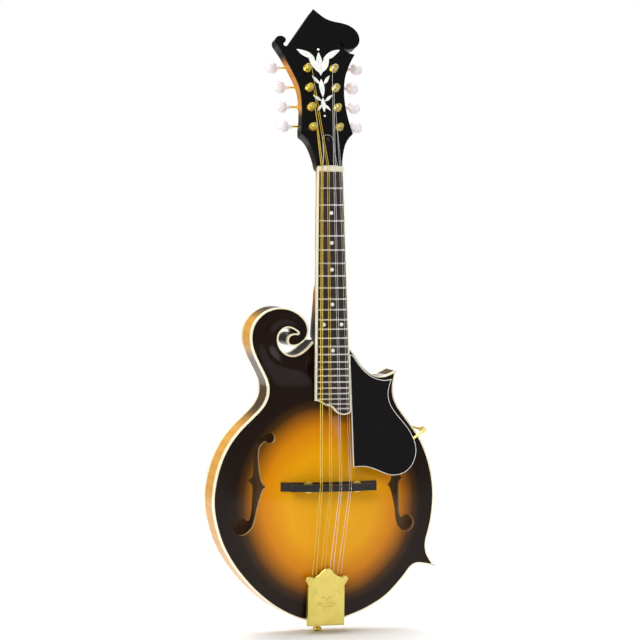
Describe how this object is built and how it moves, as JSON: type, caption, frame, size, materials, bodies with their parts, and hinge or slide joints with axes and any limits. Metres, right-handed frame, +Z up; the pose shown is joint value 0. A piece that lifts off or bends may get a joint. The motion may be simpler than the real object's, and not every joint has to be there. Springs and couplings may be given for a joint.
{
  "type": "mandolin",
  "caption": "Scroll-bodied mandolin with arched plates, two f-shaped sound holes, geared tuners, adjustable bridge, sliding tailpiece cover and clamped pickguard.",
  "frame": {"origin": "the middle of the end pin's groove, on the centre line and half way through the sides", "axes": "+Z up the body and neck to the headstock, the strings and front face -Y, +X the treble side"},
  "size_m": [0.2638, 0.1132, 0.6974],
  "materials": {
    "top_spruce": "gloss sunburst",
    "maple_back": "gloss",
    "maple_sides": "gloss",
    "binding": "gloss",
    "spruce_inner": "bare",
    "block_wood": "bare",
    "neck_maple": "gloss",
    "black_veneer": "gloss black",
    "pearl": "pearl",
    "rosewood": "oiled",
    "nickel_wire": "polished",
    "bone": "satin",
    "steel_rod": "plain",
    "brass_part": "plain",
    "black_plastic": "gloss",
    "gold": "gold plated",
    "gold_wheels": "gold plated",
    "gold_posts": "gold plated",
    "gold_shafts": "gold plated",
    "gold_cover": "gold plated, engraved",
    "ebony": "satin black",
    "bronze_wound": "wound",
    "plain_steel": "polished",
    "edge_white": "gloss",
    "button_pearl": "pearl"
  },
  "bodies": {
    "mandolin": {"top_plate": "top_spruce", "back_plate": "maple_back", "rim": "maple_sides", "body_binding": "binding", "linings": "spruce_inner", "body_blocks": "block_wood", "tone_bars": "spruce_inner", "neck": "neck_maple", "head_overlay": "black_veneer", "head_inlay": "pearl", "fretboard": "rosewood", "board_binding": "binding", "frets": "nickel_wire", "fret_dots": "pearl", "nut": "bone", "truss_rod": "steel_rod", "truss_cover": "black_plastic", "small_screws": "gold", "post_bushings": "gold", "tuner_plates": "gold", "bridge_base": "ebony", "bridge_studs": "gold_wheels", "wound_strings": "bronze_wound", "plain_strings": "plain_steel", "tailpiece_base": "gold", "tailpiece_screws": "gold", "end_pin": "gold", "pickguard": "black_plastic", "pickguard_edge": "edge_white", "pickguard_bracket": "gold"},
    "key_1": {"worm_1": "gold_shafts", "button_1": "button_pearl"},
    "post_1": {"post_1": "gold_posts"},
    "key_2": {"worm_2": "gold_shafts", "button_2": "button_pearl"},
    "post_2": {"post_2": "gold_posts"},
    "key_3": {"worm_3": "gold_shafts", "button_3": "button_pearl"},
    "post_3": {"post_3": "gold_posts"},
    "key_4": {"worm_4": "gold_shafts", "button_4": "button_pearl"},
    "post_4": {"post_4": "gold_posts"},
    "key_5": {"worm_5": "gold_shafts", "button_5": "button_pearl"},
    "post_5": {"post_5": "gold_posts"},
    "key_6": {"worm_6": "gold_shafts", "button_6": "button_pearl"},
    "post_6": {"post_6": "gold_posts"},
    "key_7": {"worm_7": "gold_shafts", "button_7": "button_pearl"},
    "post_7": {"post_7": "gold_posts"},
    "key_8": {"worm_8": "gold_shafts", "button_8": "button_pearl"},
    "post_8": {"post_8": "gold_posts"},
    "saddle": {"bridge_saddle": "ebony"},
    "wheel_bass": {"wheel_bass": "gold_wheels"},
    "wheel_treble": {"wheel_treble": "gold_wheels"},
    "truss_nut": {"truss_rod_nut": "brass_part"},
    "cover": {"tailpiece_cover": "gold_cover"},
    "clamp_nut": {"bracket_nut": "gold"}
  },
  "joints": [
    {"name": "key_turn_1", "type": "hinge", "parent": "mandolin", "child": "key_1", "pos_m": [-0.0156, 0.01908, 0.55778], "axis": [1, 0, 0], "continuous": true},
    {"name": "post_turn_1", "type": "hinge", "parent": "mandolin", "child": "post_1", "pos_m": [-0.0156, -0.00233, 0.55734], "axis": [0, -0.9454, 0.3259], "continuous": true},
    {"name": "key_turn_2", "type": "hinge", "parent": "mandolin", "child": "key_2", "pos_m": [-0.0156, 0.02658, 0.57953], "axis": [1, 0, 0], "continuous": true},
    {"name": "post_turn_2", "type": "hinge", "parent": "mandolin", "child": "post_2", "pos_m": [-0.0156, 0.00516, 0.57908], "axis": [0, -0.9454, 0.3259], "continuous": true},
    {"name": "key_turn_3", "type": "hinge", "parent": "mandolin", "child": "key_3", "pos_m": [-0.0156, 0.03407, 0.60127], "axis": [1, 0, 0], "continuous": true},
    {"name": "post_turn_3", "type": "hinge", "parent": "mandolin", "child": "post_3", "pos_m": [-0.0156, 0.01266, 0.60083], "axis": [0, -0.9454, 0.3259], "continuous": true},
    {"name": "key_turn_4", "type": "hinge", "parent": "mandolin", "child": "key_4", "pos_m": [-0.0156, 0.04157, 0.62302], "axis": [1, 0, 0], "continuous": true},
    {"name": "post_turn_4", "type": "hinge", "parent": "mandolin", "child": "post_4", "pos_m": [-0.0156, 0.02015, 0.62257], "axis": [0, -0.9454, 0.3259], "continuous": true},
    {"name": "key_turn_5", "type": "hinge", "parent": "mandolin", "child": "key_5", "pos_m": [0.0156, 0.04157, 0.62302], "axis": [1, 0, 0], "continuous": true},
    {"name": "post_turn_5", "type": "hinge", "parent": "mandolin", "child": "post_5", "pos_m": [0.0156, 0.02015, 0.62257], "axis": [0, -0.9454, 0.3259], "continuous": true},
    {"name": "key_turn_6", "type": "hinge", "parent": "mandolin", "child": "key_6", "pos_m": [0.0156, 0.03407, 0.60127], "axis": [1, 0, 0], "continuous": true},
    {"name": "post_turn_6", "type": "hinge", "parent": "mandolin", "child": "post_6", "pos_m": [0.0156, 0.01266, 0.60083], "axis": [0, -0.9454, 0.3259], "continuous": true},
    {"name": "key_turn_7", "type": "hinge", "parent": "mandolin", "child": "key_7", "pos_m": [0.0156, 0.02658, 0.57953], "axis": [1, 0, 0], "continuous": true},
    {"name": "post_turn_7", "type": "hinge", "parent": "mandolin", "child": "post_7", "pos_m": [0.0156, 0.00516, 0.57908], "axis": [0, -0.9454, 0.3259], "continuous": true},
    {"name": "key_turn_8", "type": "hinge", "parent": "mandolin", "child": "key_8", "pos_m": [0.0156, 0.01908, 0.55778], "axis": [1, 0, 0], "continuous": true},
    {"name": "post_turn_8", "type": "hinge", "parent": "mandolin", "child": "post_8", "pos_m": [0.0156, -0.00233, 0.55734], "axis": [0, -0.9454, 0.3259], "continuous": true},
    {"name": "saddle_raise", "type": "slide", "parent": "mandolin", "child": "saddle", "axis": [0, -1, 0], "range_m": [-0.001, 0.002], "deforming": ["wound_strings", "plain_strings"]},
    {"name": "wheel_turn_bass", "type": "hinge", "parent": "saddle", "child": "wheel_bass", "pos_m": [-0.0286, -0.0437, 0.1593], "axis": [0, -1, 0], "range_deg": [-361, 721]},
    {"name": "wheel_turn_treble", "type": "hinge", "parent": "saddle", "child": "wheel_treble", "pos_m": [0.0286, -0.0437, 0.1593], "axis": [0, -1, 0], "range_deg": [-361, 721]},
    {"name": "truss_rod_turn", "type": "hinge", "parent": "mandolin", "child": "truss_nut", "pos_m": [0, -0.0108, 0.52108], "axis": [0, 0.0823, 0.9966], "range_deg": [-180, 180]},
    {"name": "cover_slide", "type": "slide", "parent": "mandolin", "child": "cover", "axis": [0, -0.2468, 0.9691], "range_m": [0, 0.012]},
    {"name": "clamp_nut_turn", "type": "hinge", "parent": "mandolin", "child": "clamp_nut", "pos_m": [0.1125, -0.0265, 0.22], "axis": [0, -1, 0], "continuous": true}
  ],
  "couplings": [
    {"joint": "post_turn_1", "follows": "key_turn_1", "ratio": 0.0625},
    {"joint": "post_turn_2", "follows": "key_turn_2", "ratio": 0.0625},
    {"joint": "post_turn_3", "follows": "key_turn_3", "ratio": 0.0625},
    {"joint": "post_turn_4", "follows": "key_turn_4", "ratio": 0.0625},
    {"joint": "post_turn_5", "follows": "key_turn_5", "ratio": 0.0625},
    {"joint": "post_turn_6", "follows": "key_turn_6", "ratio": 0.0625},
    {"joint": "post_turn_7", "follows": "key_turn_7", "ratio": 0.0625},
    {"joint": "post_turn_8", "follows": "key_turn_8", "ratio": 0.0625},
    {"joint": "wheel_turn_bass", "follows": "saddle_raise", "rad_per_m": 6283.2},
    {"joint": "wheel_turn_treble", "follows": "saddle_raise", "rad_per_m": 6283.2}
  ]
}
